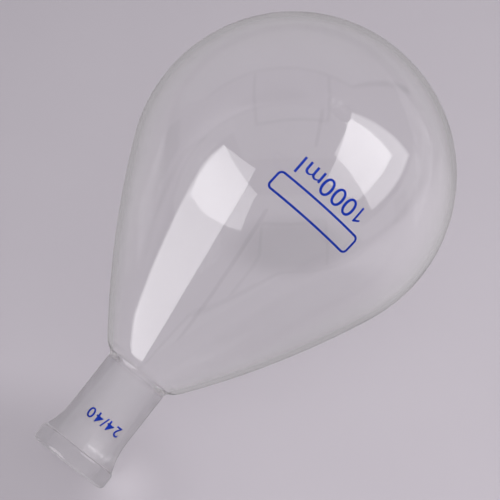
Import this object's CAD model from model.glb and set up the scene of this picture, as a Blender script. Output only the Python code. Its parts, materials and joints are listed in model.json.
"""Looks of the pear-shaped evaporating flask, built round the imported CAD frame.

The flask lies on a pale table in a light tent. Its glass is one fused surface of revolution, outside
and inside, about the axis that the record's mouth_face mount gives. Station 0 is the mouth's end face
and the stations grow towards the closed end of the bulb. Lengths are in metres, angles in radians.
"""

import json
import math

import bmesh
import bpy
from mathutils import Matrix, Vector


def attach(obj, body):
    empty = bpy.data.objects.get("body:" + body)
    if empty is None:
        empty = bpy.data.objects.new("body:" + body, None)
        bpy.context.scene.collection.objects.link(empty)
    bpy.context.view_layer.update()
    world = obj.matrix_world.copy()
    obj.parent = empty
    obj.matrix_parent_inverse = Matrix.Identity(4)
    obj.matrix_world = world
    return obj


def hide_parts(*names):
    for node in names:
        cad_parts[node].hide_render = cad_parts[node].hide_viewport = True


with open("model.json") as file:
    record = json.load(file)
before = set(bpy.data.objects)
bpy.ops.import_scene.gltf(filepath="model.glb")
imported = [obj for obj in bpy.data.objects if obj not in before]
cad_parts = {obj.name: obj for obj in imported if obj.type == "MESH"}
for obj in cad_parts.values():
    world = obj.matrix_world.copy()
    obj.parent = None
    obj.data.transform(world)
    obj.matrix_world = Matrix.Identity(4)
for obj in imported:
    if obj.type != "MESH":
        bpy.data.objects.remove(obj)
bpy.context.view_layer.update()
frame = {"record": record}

MM = 0.001
QUARTER = math.pi / 2

# Where the axis lies: the mount is a point of the mouth's flat end face, straight above the axis.
MOUNT_RADIUS = 13.8 * MM
mount = next(m for m in frame["record"]["mounts"] if m["name"] == "mouth_face")
AXIS = -Vector(mount["axis"]).normalized()
ACROSS = Vector((0.0, 1.0, 0.0))
RISE = AXIS.cross(ACROSS).normalized()
if RISE.z < 0:
    RISE = -RISE
MOUTH = Vector(mount["pos_m"]) - MOUNT_RADIUS * RISE

# The outside of the glass, as in the CAD model. SKIN keeps the round surface inside the faceted one.
SKIN = 0.1 * MM
BULB_RADIUS = 65.5 * MM
BULB_CENTRE = 145.5 * MM
BULB_WALL = 2.0 * MM
SIDE_RADIUS = 355.0 * MM
SIDE_START = math.radians(24.0)
SHOULDER_RADIUS = 8.0 * MM
SHOULDER_START_RADIUS = 18.0 * MM
ROOT_RADIUS = 2.5 * MM
NECK_RADIUS = 13.7 * MM
NECK_MIDDLE = 32.0 * MM
FLARE_LENGTH = 12.0 * MM
COLLAR_RADIUS = 17.1 * MM
COLLAR_LENGTH = 7.8 * MM
COLLAR_CORNER = 2.0 * MM
COLLAR_BACK = 2.6 * MM
COLLAR_NECKING = 16.2 * MM

# The inside: the ground taper, then a throat that opens into the bulb's inner wall.
MOUTH_CHAMFER = 0.5 * MM
JOINT_MOUTH_RADIUS = 12.0 * MM
JOINT_LENGTH = 40.0 * MM
JOINT_TAPER = 0.05
JOINT_RINGS_MM = (3.3, 6.3, 10.0, 16.0, 22.0, 28.0, 34.0)
THROAT_START = 41.0 * MM
THROAT_BEND = 45.0 * MM
THROAT_LEAD = 2.5 * MM
WALL_START = 49.0 * MM

# Where the surface of the glass changes: ground inside the joint, tooled outside it.
GROUND_START = 0.8 * MM
GROUND_RIM = 6.3 * MM
GROUND_END = 43.5 * MM
TOOLED_END = 42.0 * MM
CLEAR, GROUND, RIM, TOOLED = range(4)

# How finely the round shapes are cut.
TURN_STEPS = 256
ARC_STEP = math.radians(3.0)
FINE_STEP = ARC_STEP / 6
SHOULDER_STEP = 2 * ARC_STEP
CORNER_STEP = 3 * ARC_STEP
SHARP_REACH = 0.01 * MM

# The looks of the glass. A relief is noise: scale per metre, detail, strength, depth in metres.
# CLEARNESS is the share of light that goes straight through, LIT what a shadow keeps of the light.
GLASS_IOR = 1.473
CLEAR_RELIEF = (45.0, 1.0, 0.15, 0.0002)
CLEAR_LIT = 0.985
TOOLED_RELIEF = (700.0, 2.0, 0.3, 0.00005)
TOOLED_ROUGHNESS = 0.25
TOOLED_MATT_COLOUR = (0.50, 0.475, 0.50, 1.0)
TOOLED_MATT_SHARE = 0.25
GROUND_RELIEF = (2500.0, 3.0, 0.3, 0.00005)
GRAIN_SPAN = (0.3, 0.7)
GROUND_ROUGHNESS = (0.42, 0.58)
GROUND_CLEARNESS = 0.85
GROUND_MATT_COLOUR = (0.50, 0.48, 0.50, 1.0)
GROUND_MATT_SHARE = 0.36
RIM_MATT_SHARE = 0.2
GROUND_LIT = 0.97

# The enamel print. A cloud is noise: scale per metre and detail.
ENAMEL_LIFT = 0.02 * MM
ENAMEL_THICKNESS = 0.06 * MM
ENAMEL_CLOUD = (900.0, 4.0)
ENAMEL_COLOURS = ((0.35, (0.001, 0.022, 0.27, 1.0)), (0.7, (0.004, 0.034, 0.38, 1.0)))
ENAMEL_ROUGHNESS = 0.45
ENAMEL_SHINE = 0.2
PRINT_SLOPE = math.radians(1.5)
PRINT_ANGLE = math.radians(-36.0)
CAPACITY_BASELINE = 142.4 * MM
CAPACITY_HEIGHT = 7.2 * MM
PANEL_CENTRE = 129.0 * MM
PANEL_WIDTH = 40.8 * MM
PANEL_HEIGHT = 8.6 * MM
PANEL_CORNER = 2.2 * MM
PANEL_STROKE = 0.9 * MM
SIZE_ANGLE = math.radians(-29.3)
SIZE_BASELINE = 23.5 * MM
SIZE_HEIGHT = 4.2 * MM
SIZE_SPACING = 1.18
SIZE_BOLD = 0.01

# The lettering: cell widths in heights of a character, and how the typeface is fitted to them.
ADVANCE = {"m": 1.16, "l": 0.52, "/": 0.30}
DIGIT_ADVANCE = 0.79
GLYPH_STRETCH = 1.08
TYPEFACE_CAP = 0.69
ONE_HEIGHT = 0.9

# How finely the print is cut.
LETTER_STEPS = 8
CORNER_STEPS = 10
MERGE_REACH = 0.005 * MM
LONGEST_EDGE = 0.9 * MM
CUT_ROUNDS = 6

# The photograph's viewpoint, fitted to its outlines. The focal length, and how far the bulb's centre
# is to the right of the picture's middle and above it, are in picture widths.
CAMERA_HEADING = math.radians(40.597)
CAMERA_PITCH = math.radians(55.0)
CAMERA_DISTANCE = 0.8
CAMERA_FOCAL = 3.988
BULB_RIGHT = 0.08612
BULB_UP = 0.14934
SENSOR_MM = 36.0
CAMERA_CLIP = (0.05, 20.0)

# The table, and its soft shadows: middle, half size and the share of the colour that is left.
TABLE_HALF = 1.6
TABLE_CLOUD = (7.0, 5.0)
TABLE_COLOURS = ((0.3, (0.548, 0.514, 0.551, 1.0)), (0.7, (0.572, 0.537, 0.573, 1.0)))
TABLE_ROUGHNESS = 0.75
TABLE_SHINE = 0.2
# SHADOW_CORE is how much of its slope leads down to the darkest part.
SHADOW_TURN = math.radians(-49.4)
SHADOW_CORE = 0.6
SOFT_SHADOWS = (
    ((0.0464, 0.007), (0.034, 0.020), 0.84),
    ((-0.120, 0.022), (0.090, 0.060), 0.84),
)

# The table's own glow, outside the picture, by the distance from the origin.
FAR_GLOWS = ((0.28, (0.0, 0.0, 0.0, 1.0)), (0.75, (0.19, 0.18, 0.195, 1.0)))

# The table as the glass mirrors it: its glow by the distance from its bright middle, a little less
# of it in green, and one dark patch like a soft shadow.
BRIGHT_MIDDLE = (0.09, -0.33, 0.0)
MIRRORED_GREEN = 0.95
MIRRORED_GLOWS = ((0.0, 1.05), (0.16, 0.90), (0.28, 0.44), (0.50, 0.42), (1.0, 0.42))
DARK_REFLECTION = ((-0.088, -0.175), (0.12, 0.17), 0.45)

# The surround: a pale one for the eye, and the darker room that the glass mirrors.
PALE_COLOUR = (0.94, 0.95, 1.0, 1.0)
PALE_GLOW = 0.28
ROOM_COLOUR = (0.80, 0.75, 0.80, 1.0)
ROOM_GLOW = 0.42

# Cards that only show as reflections. A softbox: its corners, its glow at the top and at the bottom.
CARD_COLOUR = (1.0, 0.98, 1.0, 1.0)
SOFTBOXES = (
    (
        "softbox_left",
        ((-0.98, 0.914, 1.27), (-1.0, 0.035, 1.27), (-1.0, -0.01, 0.0), (-0.98, 0.77, 0.0)),
        2.3,
        3.9,
    ),
    (
        "softbox_right",
        ((0.867, -0.486, 1.289), (0.873, -0.795, 0.258), (0.103, -1.151, 0.299), (0.097, -0.842, 1.33)),
        2.55,
        2.55,
    ),
)

# Upright cards: distance, heading, left and right ends (degrees), bottom and top, glow.
TENT_WALLS = (
    ("backdrop", 1.7, 31.0, 96.0, -6.0, 0.3, 1.97, 0.42),
    ("tent_back_top", 1.69, 31.0, 96.0, -6.0, 1.90, 2.02, 0.0),
    ("tent_back_right", 1.69, 31.0, -4.5, -8.0, 0.0, 1.95, 0.0),
    ("tent_front", 1.35, -138.0, -95.0, -180.0, -0.05, 1.2, 0.58),
    ("tent_right_foot", 0.9, -68.0, -38.0, -96.0, -0.02, 0.18, 0.7),
    ("tent_front_post", 1.3, -138.0, -158.0, -161.0, 0.0, 0.85, 0.05),
)
LIGHT_STAND = (
    ("light_stand", 1.3, 111.0, 119.0, 103.0, 0.0, 0.30, 0.10),
    ("light_pole", 1.25, 124.0, 126.0, 122.5, 0.1, 0.85, 0.10),
)

# The dark edges of the tent's ceiling, each between two points per metre of height over TENT_BELOW.
TENT_HEIGHT = 1.5
TENT_STRIP = 0.07
TENT_BELOW = Vector((0.04, 0.0, 0.065))
TENT_EDGES = (
    ("tent_top_left", (0.339, 0.952), (-0.299, 0.344)),
    ("tent_top_right", (0.909, 0.208), (0.276, -0.281)),
    ("tent_top_front", (-0.299, 0.344), (0.276, -0.281)),
)

# Square lamps: place, what it points at, power in watts. Then the patch of light beside the mouth.
KEY_SIZE = 0.6
KEY_COLOUR = (1.0, 0.97, 1.0)
KEY_LIGHTS = (
    ("key_right", (0.15, -0.56, 0.80), (0.0, 0.0, 0.0), 2.7),
    ("key_top", (-0.06, -0.27, 0.9), (-0.02, -0.1, 0.0), 4.6),
)
PATCH_PLACE = Vector((-0.087, -0.017, 0.4))
PATCH_WIDTH = math.radians(4.2)
PATCH_POWER = 1.9
PATCH_LAMP_RADIUS = 0.01


def on_axis(station, radius, angle):
    """World point at a station and radius, at an angle from straight above the axis towards +Y."""
    outward = RISE * math.cos(angle) + ACROSS * math.sin(angle)
    return MOUTH + AXIS * station + outward * radius


def added(item):
    """The same object, now in the scene."""
    bpy.context.scene.collection.objects.link(item)
    return item


# ---------------------------------------------------------------- glass shape


def arc(centre, radius, start, end, step=ARC_STEP):
    """Points (station, radius) on an arc. Angle 0 points to the closed end, 90 degrees outwards."""
    count = max(2, math.ceil(abs(end - start) / step))
    points = []
    for index in range(count + 1):
        angle = start + (end - start) * index / count
        points.append((centre[0] + radius * math.cos(angle), centre[1] + radius * math.sin(angle)))
    return points


def pear_outline(inset=0.0):
    """The bulb's outline from the closed end to the neck, moved inwards by inset."""
    side_angle = QUARTER + SIDE_START
    side_offset = SIDE_RADIUS - BULB_RADIUS
    side_centre = (
        BULB_CENTRE - side_offset * math.cos(side_angle),
        -side_offset * math.sin(side_angle),
    )
    shoulder_angle = math.pi - math.asin((SHOULDER_START_RADIUS - side_centre[1]) / SIDE_RADIUS)
    reach = SIDE_RADIUS - SHOULDER_RADIUS
    shoulder_centre = (
        side_centre[0] + reach * math.cos(shoulder_angle),
        side_centre[1] + reach * math.sin(shoulder_angle),
    )
    root_height = NECK_RADIUS + ROOT_RADIUS - shoulder_centre[1]
    root_angle = math.pi - math.asin(root_height / (SHOULDER_RADIUS + ROOT_RADIUS))
    root_centre = (
        shoulder_centre[0] + (SHOULDER_RADIUS + ROOT_RADIUS) * math.cos(root_angle),
        NECK_RADIUS + ROOT_RADIUS,
    )
    shoulder_radius = SHOULDER_RADIUS - inset
    root_radius = ROOT_RADIUS + inset
    points = arc((BULB_CENTRE, 0.0), BULB_RADIUS - inset, 0.0, side_angle)
    points += arc(side_centre, SIDE_RADIUS - inset, side_angle, shoulder_angle, FINE_STEP)[1:]
    points += arc(shoulder_centre, shoulder_radius, shoulder_angle, root_angle, SHOULDER_STEP)[1:]
    points += arc(root_centre, root_radius, root_angle - math.pi, -QUARTER, CORNER_STEP)[1:]
    return points


def bore_radius(station):
    """Radius of the joint's taper, which stays the same past its small end."""
    return JOINT_MOUTH_RADIUS - JOINT_TAPER * min(station, JOINT_LENGTH)


def curve_between(start, handle, other_handle, end, count=10):
    """Points of a cubic Bezier curve, without its first point."""
    corners = (start, handle, other_handle, end)
    points = []
    for index in range(1, count + 1):
        t = index / count
        weights = ((1 - t) ** 3, 3 * t * (1 - t) ** 2, 3 * t * t * (1 - t), t**3)
        points.append(tuple(sum(w * c[k] for w, c in zip(weights, corners)) for k in (0, 1)))
    return points


def outer_profile():
    """Outside of the glass, from the closed end to the rim of the mouth."""
    points = pear_outline(SKIN)
    neck = NECK_RADIUS - SKIN
    rise = COLLAR_NECKING - NECK_RADIUS
    flare_radius = (FLARE_LENGTH**2 + rise**2) / (2 * rise)
    flare_angle = math.asin(FLARE_LENGTH / flare_radius)
    flare_centre = (COLLAR_LENGTH + FLARE_LENGTH, neck + flare_radius)
    points.append((NECK_MIDDLE, neck))
    points += arc(flare_centre, flare_radius, -QUARTER, -QUARTER - flare_angle)
    back_turn = math.acos(1.0 - (COLLAR_RADIUS - COLLAR_NECKING) / COLLAR_BACK)
    back_centre = (
        COLLAR_LENGTH - COLLAR_BACK * math.sin(back_turn),
        COLLAR_RADIUS - COLLAR_BACK - SKIN,
    )
    front_centre = (COLLAR_CORNER, COLLAR_RADIUS - COLLAR_CORNER - SKIN)
    points += arc(back_centre, COLLAR_BACK, QUARTER - back_turn, QUARTER, CORNER_STEP)[1:]
    points += arc(front_centre, COLLAR_CORNER, QUARTER, math.pi, CORNER_STEP)
    return points


def inner_profile():
    """Inside of the glass, from the rim of the mouth to the closed end."""
    wall = [point for point in pear_outline(BULB_WALL)[::-1] if point[0] > WALL_START]
    throat = bore_radius(JOINT_LENGTH)
    points = [(0.0, bore_radius(0.0) + MOUTH_CHAMFER), (MOUTH_CHAMFER, bore_radius(MOUTH_CHAMFER))]
    points += [(ring * MM, bore_radius(ring * MM)) for ring in JOINT_RINGS_MM]
    points += [(JOINT_LENGTH, throat), (THROAT_START, throat)]
    slope = (wall[1][1] - wall[0][1]) / (wall[1][0] - wall[0][0])
    lead = (wall[0][0] - THROAT_LEAD, wall[0][1] - THROAT_LEAD * slope)
    points += curve_between(points[-1], (THROAT_BEND, throat), lead, wall[0])
    return points + wall[1:]


def surface_of(point):
    """Which surface the glass has at a point: ground in the bore, tooled outside it, or clear."""
    station = point.dot(AXIS)
    in_bore = (point - AXIS * station).length < JOINT_MOUTH_RADIUS
    if in_bore and GROUND_START < station < GROUND_END:
        return GROUND if station > GROUND_RIM else RIM
    return TOOLED if COLLAR_LENGTH < station < TOOLED_END else CLEAR


def turned(name, profile, surfaces):
    """A closed surface of revolution about the flask's axis from a profile with both ends on it.

    Its edges are sharp in the plane of the mouth and at the collar's back. The surfaces are in the
    order of CLEAR, GROUND, RIM and TOOLED.
    """
    mesh = bmesh.new()
    rings = []
    for station, radius in profile[1:-1]:
        ring = []
        for step in range(TURN_STEPS):
            angle = 2 * math.pi * step / TURN_STEPS
            ring.append(mesh.verts.new(on_axis(station, radius, angle)))
        rings.append(ring)
    first = mesh.verts.new(on_axis(profile[0][0], 0.0, 0.0))
    last = mesh.verts.new(on_axis(profile[-1][0], 0.0, 0.0))
    for step in range(TURN_STEPS):
        following = (step + 1) % TURN_STEPS
        mesh.faces.new((first, rings[0][step], rings[0][following]))
        mesh.faces.new((last, rings[-1][following], rings[-1][step]))
        for near, far in zip(rings, rings[1:]):
            mesh.faces.new((near[step], far[step], far[following], near[following]))
    bmesh.ops.recalc_face_normals(mesh, faces=mesh.faces)
    for face in mesh.faces:
        face.smooth = True
        face.material_index = surface_of(face.calc_center_median() - MOUTH)
    for edge in mesh.edges:
        ends = [(corner.co - MOUTH).dot(AXIS) for corner in edge.verts]
        for sharp in (0.0, COLLAR_LENGTH):
            if max(abs(end - sharp) for end in ends) < SHARP_REACH:
                edge.smooth = False
    data = bpy.data.meshes.new(name)
    mesh.to_mesh(data)
    mesh.free()
    for material in surfaces:
        data.materials.append(material)
    return added(bpy.data.objects.new(name, data))


# ------------------------------------------------------------------ materials


def node_material(name):
    """A new material with its nodes and links."""
    material = bpy.data.materials.new(name)
    material.use_nodes = True
    return material, material.node_tree.nodes, material.node_tree.links


def mixed(nodes, links, share, first, second):
    """A mix of two shaders, by a number or by a socket."""
    mix = nodes.new("ShaderNodeMixShader")
    if isinstance(share, float):
        mix.inputs[0].default_value = share
    else:
        links.new(share, mix.inputs[0])
    links.new(first.outputs[0], mix.inputs[1])
    links.new(second.outputs[0], mix.inputs[2])
    return mix


def noise_cloud(nodes, links, scale, detail):
    """Noise in the object's own coordinates."""
    place = nodes.new("ShaderNodeTexCoord")
    cloud = nodes.new("ShaderNodeTexNoise")
    cloud.inputs["Scale"].default_value = scale
    cloud.inputs["Detail"].default_value = detail
    links.new(place.outputs["Object"], cloud.inputs["Vector"])
    return cloud


def colour_ramp(nodes, links, value, stops):
    """A colour that goes with a value, through stops of a position and a colour."""
    ramp = nodes.new("ShaderNodeValToRGB")
    points = ramp.color_ramp.elements
    while len(points) < len(stops):
        points.new(0.5)
    for point, (position, colour) in zip(points, stops):
        point.position = position
        point.color = colour
    links.new(value, ramp.inputs["Fac"])
    return ramp


def range_map(nodes, links, value, source, target):
    """A number mapped from one range to another."""
    ramp = nodes.new("ShaderNodeMapRange")
    ramp.inputs["From Min"].default_value, ramp.inputs["From Max"].default_value = source
    ramp.inputs["To Min"].default_value, ramp.inputs["To Max"].default_value = target
    links.new(value, ramp.inputs["Value"])
    return ramp


def glass(name, roughness, relief):
    """A glass material with a relief: the material, its shader and the relief's noise."""
    material, nodes, links = node_material(name)
    shader = nodes["Principled BSDF"]
    shader.inputs["Base Color"].default_value = (1.0, 1.0, 1.0, 1.0)
    shader.inputs["Roughness"].default_value = roughness
    shader.inputs["IOR"].default_value = GLASS_IOR
    shader.inputs["Transmission Weight"].default_value = 1.0
    scale, detail, strength, depth = relief
    cloud = noise_cloud(nodes, links, scale, detail)
    bump = nodes.new("ShaderNodeBump")
    bump.inputs["Strength"].default_value = strength
    bump.inputs["Distance"].default_value = depth
    links.new(cloud.outputs["Fac"], bump.inputs["Height"])
    links.new(bump.outputs["Normal"], shader.inputs["Normal"])
    return material, shader, cloud


def clouded(material, shader, colour, share):
    """A shader with a share of matt surface in it."""
    nodes = material.node_tree.nodes
    matt = nodes.new("ShaderNodeBsdfDiffuse")
    matt.inputs["Color"].default_value = colour
    return mixed(nodes, material.node_tree.links, share, shader, matt)


def lit_through(material, shader, share):
    """Puts a shader out. The light of shadows and soft bounces goes straight through, dimmed."""
    nodes = material.node_tree.nodes
    links = material.node_tree.links
    through = nodes.new("ShaderNodeBsdfTransparent")
    through.inputs["Color"].default_value = (share, share, share, 1.0)
    path = nodes.new("ShaderNodeLightPath")
    either = nodes.new("ShaderNodeMath")
    either.operation = "MAXIMUM"
    links.new(path.outputs["Is Shadow Ray"], either.inputs[0])
    links.new(path.outputs["Is Diffuse Ray"], either.inputs[1])
    mix = mixed(nodes, links, either.outputs[0], shader, through)
    links.new(mix.outputs[0], nodes["Material Output"].inputs["Surface"])
    return material


def clear_glass():
    """Blown borosilicate glass, its walls very slightly wavy."""
    material, shader, _ = glass("clear_borosilicate", 0.0, CLEAR_RELIEF)
    return lit_through(material, shader, CLEAR_LIT)


def tooled_glass():
    """The outside of the joint, left slightly matt by the tool that shaped it."""
    material, shader, _ = glass("tooled_borosilicate", TOOLED_ROUGHNESS, TOOLED_RELIEF)
    matt = clouded(material, shader, TOOLED_MATT_COLOUR, TOOLED_MATT_SHARE)
    return lit_through(material, matt, CLEAR_LIT)


def ground_glass(name, matt_share):
    """The ground taper inside the joint: hazy, fine-grained and a little uneven."""
    material, shader, grain = glass(name, GROUND_ROUGHNESS[0], GROUND_RELIEF)
    nodes = material.node_tree.nodes
    links = material.node_tree.links
    uneven = range_map(nodes, links, grain.outputs["Fac"], GRAIN_SPAN, GROUND_ROUGHNESS)
    links.new(uneven.outputs["Result"], shader.inputs["Roughness"])
    straight = nodes.new("ShaderNodeBsdfTransparent")
    haze = mixed(nodes, links, GROUND_CLEARNESS, shader, straight)
    return lit_through(material, clouded(material, haze, GROUND_MATT_COLOUR, matt_share), GROUND_LIT)


def blue_enamel():
    """Fired blue enamel, faintly uneven and half matt."""
    material, nodes, links = node_material("fired_blue_enamel")
    shader = nodes["Principled BSDF"]
    cloud = noise_cloud(nodes, links, *ENAMEL_CLOUD)
    colour = colour_ramp(nodes, links, cloud.outputs["Fac"], ENAMEL_COLOURS)
    links.new(colour.outputs["Color"], shader.inputs["Base Color"])
    shader.inputs["Roughness"].default_value = ENAMEL_ROUGHNESS
    shader.inputs["Specular IOR Level"].default_value = ENAMEL_SHINE
    return material


# ---------------------------------------------------------------------- print


def on_bulb(across, up, baseline, lift):
    """World point of the round end, across the print and up from its baseline to the mouth."""
    turned_across = across * math.cos(PRINT_SLOPE) + up * math.sin(PRINT_SLOPE)
    turned_up = up * math.cos(PRINT_SLOPE) - across * math.sin(PRINT_SLOPE)
    latitude = math.asin((baseline - BULB_CENTRE) / BULB_RADIUS) - turned_up / BULB_RADIUS
    angle = PRINT_ANGLE + turned_across / (BULB_RADIUS * math.cos(latitude))
    radius = (BULB_RADIUS - SKIN + lift) * math.cos(latitude)
    station = BULB_CENTRE + (BULB_RADIUS - SKIN + lift) * math.sin(latitude)
    return on_axis(station, radius, angle)


def on_capacity(across, up, lift):
    return on_bulb(across, up, CAPACITY_BASELINE, lift)


def on_panel(across, up, lift):
    return on_bulb(across, up, PANEL_CENTRE, lift)


def on_neck(across, up, lift):
    """World point of the neck tube, across the print and up from its baseline to the mouth."""
    angle = SIZE_ANGLE + across / NECK_RADIUS
    return on_axis(SIZE_BASELINE - up, NECK_RADIUS - SKIN + lift, angle)


def flat_mesh(name, points, faces):
    mesh = bpy.data.meshes.new(name)
    mesh.from_pydata([(x, y, 0.0) for x, y in points], [], faces)
    return mesh


def digit_one(height):
    """A one with a flag: an upright stem and a short stroke falling to the left."""
    stem = 0.13 * height
    flag = 0.27 * height
    slant_start = 0.35 * stem
    flag_top, flag_foot, flag_root = 0.79 * height, 0.66 * height, 0.81 * height
    aside = 0.06 * height
    points = [
        (0.0, 0.0),
        (stem, 0.0),
        (stem, height),
        (slant_start, height),
        (-flag, flag_top),
        (-flag, flag_foot),
        (0.0, flag_root),
    ]
    return flat_mesh("one", [(x + aside, y) for x, y in points], [list(range(len(points)))])


def evaluated_mesh(source):
    """The mesh of a curve or text object, which is then removed."""
    bpy.context.view_layer.update()
    graph = bpy.context.evaluated_depsgraph_get()
    mesh = bpy.data.meshes.new_from_object(source.evaluated_get(graph))
    bpy.data.objects.remove(source)
    return mesh


def character_mesh(character, height, bold):
    """One flat character, centred across its cell, its foot on the baseline."""
    if character == "1":
        return digit_one(ONE_HEIGHT * height)
    curve = bpy.data.curves.new("character", "FONT")
    curve.body = character
    curve.resolution_u = LETTER_STEPS
    curve.offset = bold
    mesh = evaluated_mesh(added(bpy.data.objects.new("character", curve)))
    bpy.data.curves.remove(curve)
    corners = [vertex.co.x for vertex in mesh.vertices]
    middle = (min(corners) + max(corners)) / 2
    scale = height / TYPEFACE_CAP
    centred = Matrix.Translation((-middle, 0.0, 0.0))
    mesh.transform(Matrix.Diagonal((scale * GLYPH_STRETCH, scale, 1.0, 1.0)) @ centred)
    return mesh


def refine(mesh):
    """Cuts a flat mesh's long edges, so that it can follow a curved wall."""
    work = bmesh.new()
    work.from_mesh(mesh)
    bmesh.ops.remove_doubles(work, verts=work.verts, dist=MERGE_REACH)
    bmesh.ops.triangulate(work, faces=work.faces)
    for _ in range(CUT_ROUNDS):
        long_edges = [edge for edge in work.edges if edge.calc_length() > LONGEST_EDGE]
        if not long_edges:
            break
        bmesh.ops.subdivide_edges(work, edges=long_edges, cuts=1)
        bmesh.ops.triangulate(work, faces=work.faces)
    work.to_mesh(mesh)
    work.free()


def enamel_piece(mesh, place, material, node):
    """Wraps a flat shape onto the glass and gives it the enamel's thickness."""
    refine(mesh)
    work = bmesh.new()
    work.from_mesh(mesh)
    made = bmesh.ops.extrude_face_region(work, geom=list(work.faces))
    raised = {item for item in made["geom"] if isinstance(item, bmesh.types.BMVert)}
    for vertex in work.verts:
        lift = ENAMEL_LIFT + (ENAMEL_THICKNESS if vertex in raised else 0.0)
        vertex.co = place(vertex.co.x, vertex.co.y, lift)
    bmesh.ops.recalc_face_normals(work, faces=work.faces)
    work.to_mesh(mesh)
    work.free()
    mesh.name = f"print_{node}"
    mesh.materials.clear()
    mesh.materials.append(material)
    piece = added(bpy.data.objects.new(f"print_{node}", mesh))
    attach(piece, "root")
    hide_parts(node)


def print_line(prefix, text, height, spacing, bold, wrap, material):
    """A line of characters, each its own piece, centred on the line's middle."""
    cells = [ADVANCE.get(character, DIGIT_ADVANCE) * height * spacing for character in text]
    left = -sum(cells) / 2
    for index, (character, cell) in enumerate(zip(text, cells), start=1):
        middle = left + cell / 2
        left += cell

        def place(across, up, lift, middle=middle):
            return wrap(middle + across, up, lift)

        label = "slash" if character == "/" else character
        mesh = character_mesh(character, height, bold)
        enamel_piece(mesh, place, material, f"{prefix}_{index}_{label}")


def rounded_rectangle(width, height, corner):
    """Points round a rectangle, anticlockwise from its upper right corner."""
    points = []
    for turn, (side, level) in enumerate(((1, 1), (-1, 1), (-1, -1), (1, -1))):
        centre = (side * (width / 2 - corner), level * (height / 2 - corner))
        for index in range(CORNER_STEPS + 1):
            angle = (turn + index / CORNER_STEPS) * QUARTER
            points.append((centre[0] + corner * math.cos(angle), centre[1] + corner * math.sin(angle)))
    return points


def panel_mesh():
    """A rounded frame with an even stroke, from two outlines with matching points."""
    both = 2 * PANEL_STROKE
    outer = rounded_rectangle(PANEL_WIDTH, PANEL_HEIGHT, PANEL_CORNER)
    inner = rounded_rectangle(PANEL_WIDTH - both, PANEL_HEIGHT - both, PANEL_CORNER - PANEL_STROKE)
    count = len(outer)
    faces = [(i, (i + 1) % count, count + (i + 1) % count, count + i) for i in range(count)]
    return flat_mesh("panel", outer + inner, faces)


# ------------------------------------------------------------- camera, lights


def camera():
    """The photograph's viewpoint: from the mouth's side, looking steeply down."""
    ahead = Vector((math.cos(CAMERA_HEADING), math.sin(CAMERA_HEADING), 0.0))
    overhead = Vector((0.0, 0.0, 1.0))
    view = ahead * math.cos(CAMERA_PITCH) - overhead * math.sin(CAMERA_PITCH)
    up = ahead * math.sin(CAMERA_PITCH) + overhead * math.cos(CAMERA_PITCH)
    right = view.cross(up)
    to_bulb = view + right * (BULB_RIGHT / CAMERA_FOCAL) + up * (BULB_UP / CAMERA_FOCAL)
    place = MOUTH + AXIS * BULB_CENTRE - CAMERA_DISTANCE * to_bulb
    data = bpy.data.cameras.new("camera")
    data.sensor_width = SENSOR_MM
    data.lens = CAMERA_FOCAL * SENSOR_MM
    data.clip_start, data.clip_end = CAMERA_CLIP
    eye = added(bpy.data.objects.new("camera", data))
    turn = Matrix((right, up, -view)).transposed().to_4x4()
    eye.matrix_world = Matrix.Translation(place) @ turn
    bpy.context.scene.camera = eye


def hidden_lamp(name, data, place):
    """A lamp that lights the scene but isn't seen, mirrored or refracted itself."""
    lamp = added(bpy.data.objects.new(name, data))
    lamp.location = place
    lamp.visible_glossy = False
    lamp.visible_transmission = False
    lamp.visible_camera = False
    return lamp


def key_light(name, place, target, power):
    """A square soft lamp that points at a target."""
    data = bpy.data.lights.new(name, "AREA")
    data.shape = "RECTANGLE"
    data.size = data.size_y = KEY_SIZE
    data.energy = power
    data.color = KEY_COLOUR
    lamp = hidden_lamp(name, data, place)
    lamp.rotation_euler = (Vector(target) - Vector(place)).to_track_quat("-Z", "Y").to_euler()


def patch_light():
    """The small soft patch of light that the glass throws on the table beside the mouth."""
    data = bpy.data.lights.new("mouth_caustic", "SPOT")
    data.energy = PATCH_POWER
    data.spot_size = PATCH_WIDTH
    data.spot_blend = 1.0
    data.shadow_soft_size = PATCH_LAMP_RADIUS
    hidden_lamp("mouth_caustic", data, PATCH_PLACE)


# -------------------------------------------------------- what the glass mirrors


def apart_in_mirror(nodes, links, direct, mirrored):
    """Shows one shader to the eye, and the other by way of a mirroring surface."""
    path = nodes.new("ShaderNodeLightPath")
    seen = nodes.new("ShaderNodeMath")
    seen.operation = "GREATER_THAN"
    seen.inputs[1].default_value = 0.5
    links.new(path.outputs["Glossy Depth"], seen.inputs[0])
    return mixed(nodes, links, seen.outputs[0], direct, mirrored)


def studio_card(name, corners, top_glow, low_glow):
    """A flat part of the studio that only shows as a reflection in the glass."""
    mesh = bpy.data.meshes.new(name)
    mesh.from_pydata(corners, [], [(0, 1, 2, 3)])
    material, nodes, links = node_material(name)
    nodes.remove(nodes["Principled BSDF"])
    emission = nodes.new("ShaderNodeEmission")
    emission.inputs["Color"].default_value = CARD_COLOUR
    emission.inputs["Strength"].default_value = top_glow
    if low_glow != top_glow:
        place = nodes.new("ShaderNodeTexCoord")
        split = nodes.new("ShaderNodeSeparateXYZ")
        links.new(place.outputs["Object"], split.inputs[0])
        levels = [corner[2] for corner in corners]
        heights = (min(levels), max(levels))
        grade = range_map(nodes, links, split.outputs["Z"], heights, (low_glow, top_glow))
        links.new(grade.outputs["Result"], emission.inputs["Strength"])
    nothing = nodes.new("ShaderNodeBsdfTransparent")
    mix = apart_in_mirror(nodes, links, nothing, emission)
    links.new(mix.outputs[0], nodes["Material Output"].inputs["Surface"])
    mesh.materials.append(material)
    card = added(bpy.data.objects.new(name, mesh))
    card.visible_camera = False
    card.visible_diffuse = False
    card.visible_shadow = False


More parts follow.
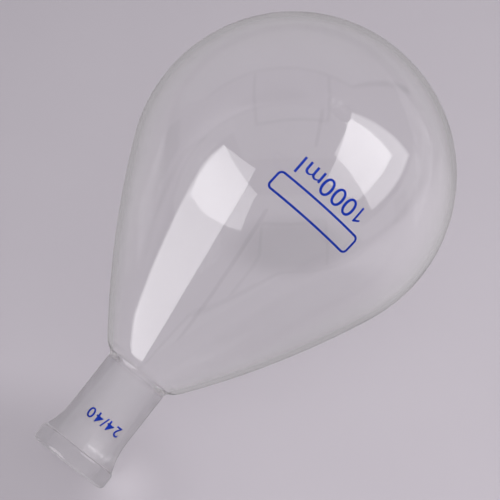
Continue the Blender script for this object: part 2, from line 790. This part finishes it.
def upright_card(name, distance, heading, left, right, bottom, top, glow):
    """A card that stands square to a heading, between two sideways angles (all in degrees)."""
    forward = Vector((math.cos(math.radians(heading)), math.sin(math.radians(heading)), 0.0))
    side = Vector((-forward.y, forward.x, 0.0))
    corners = []
    for angle, level in ((left, top), (right, top), (right, bottom), (left, bottom)):
        corner = distance * (forward + side * math.tan(math.radians(angle - heading)))
        corners.append((corner.x, corner.y, level))
    studio_card(name, corners, glow, glow)


def ceiling_edge(name, start, end):
    """A narrow dark strip in the tent's ceiling, between two points per metre of height."""
    start = Vector((*start, 0.0)) * TENT_HEIGHT
    end = Vector((*end, 0.0)) * TENT_HEIGHT
    along = (end - start).normalized()
    aside = Vector((-along.y, along.x, 0.0)) * (TENT_STRIP / 2)
    level = TENT_BELOW + Vector((0.0, 0.0, TENT_HEIGHT))
    outline = (start + aside, end + aside, end - aside, start - aside)
    studio_card(name, [tuple(corner + level) for corner in outline], 0.0, 0.0)


# -------------------------------------------------------------- table, surround


def shaded(nodes, links, place, colour, middle, size, dimmed):
    """Darkens a colour in an ellipse on the table, softly, to the share dimmed in its middle."""
    under = nodes.new("ShaderNodeMapping")
    under.vector_type = "TEXTURE"
    under.inputs["Location"].default_value = (*middle, 0.0)
    under.inputs["Rotation"].default_value = (0.0, 0.0, SHADOW_TURN)
    under.inputs["Scale"].default_value = (*size, 1.0)
    spot = nodes.new("ShaderNodeTexGradient")
    spot.gradient_type = "SPHERICAL"
    links.new(place.outputs["Object"], under.inputs["Vector"])
    links.new(under.outputs["Vector"], spot.inputs["Vector"])
    edge = range_map(nodes, links, spot.outputs["Fac"], (0.0, SHADOW_CORE), (1.0, dimmed))
    edge.interpolation_type = "SMOOTHSTEP"
    result = nodes.new("ShaderNodeVectorMath")
    result.operation = "SCALE"
    links.new(colour, result.inputs[0])
    links.new(edge.outputs["Result"], result.inputs["Scale"])
    return result.outputs["Vector"]


def distance_from(nodes, links, place, middle):
    """How far a point of the table is from its middle."""
    reach = nodes.new("ShaderNodeVectorMath")
    reach.operation = "DISTANCE"
    reach.inputs[1].default_value = middle
    links.new(place.outputs["Object"], reach.inputs[0])
    return reach.outputs["Value"]


def pale_card(nodes, links, place):
    """The table as the eye sees it: clouded a little, softly shaded, glowing far off."""
    shader = nodes["Principled BSDF"]
    shader.inputs["Roughness"].default_value = TABLE_ROUGHNESS
    shader.inputs["Specular IOR Level"].default_value = TABLE_SHINE
    cloud = noise_cloud(nodes, links, *TABLE_CLOUD)
    colour = colour_ramp(nodes, links, cloud.outputs["Fac"], TABLE_COLOURS).outputs["Color"]
    for middle, size, dimmed in SOFT_SHADOWS:
        colour = shaded(nodes, links, place, colour, middle, size, dimmed)
    links.new(colour, shader.inputs["Base Color"])
    far = colour_ramp(nodes, links, distance_from(nodes, links, place, (0.0, 0.0, 0.0)), FAR_GLOWS)
    far.color_ramp.interpolation = "EASE"
    links.new(far.outputs["Color"], shader.inputs["Emission Color"])
    shader.inputs["Emission Strength"].default_value = 1.0
    return shader


def mirrored_card(nodes, links, place):
    """The table as the glass mirrors it: bright in the middle, with one dark reflection."""
    stops = [(reach, (glow, MIRRORED_GREEN * glow, glow, 1.0)) for reach, glow in MIRRORED_GLOWS]
    fade = colour_ramp(nodes, links, distance_from(nodes, links, place, BRIGHT_MIDDLE), stops)
    emission = nodes.new("ShaderNodeEmission")
    glow = shaded(nodes, links, place, fade.outputs["Color"], *DARK_REFLECTION)
    links.new(glow, emission.inputs["Color"])
    return emission


def table():
    """Pale card on the table."""
    corners = [
        (side * TABLE_HALF, level * TABLE_HALF, 0.0)
        for side, level in ((-1, -1), (1, -1), (1, 1), (-1, 1))
    ]
    mesh = bpy.data.meshes.new("table")
    mesh.from_pydata(corners, [], [(0, 1, 2, 3)])
    material, nodes, links = node_material("table")
    place = nodes.new("ShaderNodeTexCoord")
    direct = pale_card(nodes, links, place)
    mix = apart_in_mirror(nodes, links, direct, mirrored_card(nodes, links, place))
    links.new(mix.outputs[0], nodes["Material Output"].inputs["Surface"])
    mesh.materials.append(material)
    top = added(bpy.data.objects.new("table", mesh))


def surround():
    """A pale surround for the eye, and the darker room that the glass mirrors."""
    room_world = bpy.data.worlds.new("studio")
    room_world.use_nodes = True
    nodes = room_world.node_tree.nodes
    links = room_world.node_tree.links
    pale = nodes["Background"]
    pale.inputs["Color"].default_value = PALE_COLOUR
    pale.inputs["Strength"].default_value = PALE_GLOW
    room = nodes.new("ShaderNodeBackground")
    room.inputs["Color"].default_value = ROOM_COLOUR
    room.inputs["Strength"].default_value = ROOM_GLOW
    mix = apart_in_mirror(nodes, links, pale, room)
    links.new(mix.outputs[0], nodes["World Output"].inputs["Surface"])
    bpy.context.scene.world = room_world


# ------------------------------------------------------------------- the scene


def build_flask():
    """The glass, in place of the CAD's four fused parts."""
    ground = ground_glass("ground_borosilicate", GROUND_MATT_SHARE)
    rim = ground_glass("ground_borosilicate_rim", RIM_MATT_SHARE)
    surfaces = (clear_glass(), ground, rim, tooled_glass())
    flask = turned("flask_glass", outer_profile() + inner_profile(), surfaces)
    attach(flask, "root")
    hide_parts("bulb", "neck_seal", "joint_socket", "mouth_collar")


def build_prints():
    """The capacity and the panel on the bulb, and the joint size on the neck."""
    enamel = blue_enamel()
    print_line("capacity", "1000ml", CAPACITY_HEIGHT, 1.0, 0.0, on_capacity, enamel)
    print_line("joint_size", "24/40", SIZE_HEIGHT, SIZE_SPACING, SIZE_BOLD, on_neck, enamel)
    enamel_piece(panel_mesh(), on_panel, enamel, "marking_panel")


def build_stage():
    """The camera, the table and the light tent."""
    camera()
    table()
    surround()
    for name, corners, top_glow, low_glow in SOFTBOXES:
        studio_card(name, corners, top_glow, low_glow)
    for card in TENT_WALLS:
        upright_card(*card)
    for name, start, end in TENT_EDGES:
        ceiling_edge(name, start, end)
    for card in LIGHT_STAND:
        upright_card(*card)
    for name, place, target, power in KEY_LIGHTS:
        key_light(name, place, target, power)
    patch_light()


bpy.context.scene.view_settings.view_transform = "Standard"
build_flask()
build_prints()
build_stage()
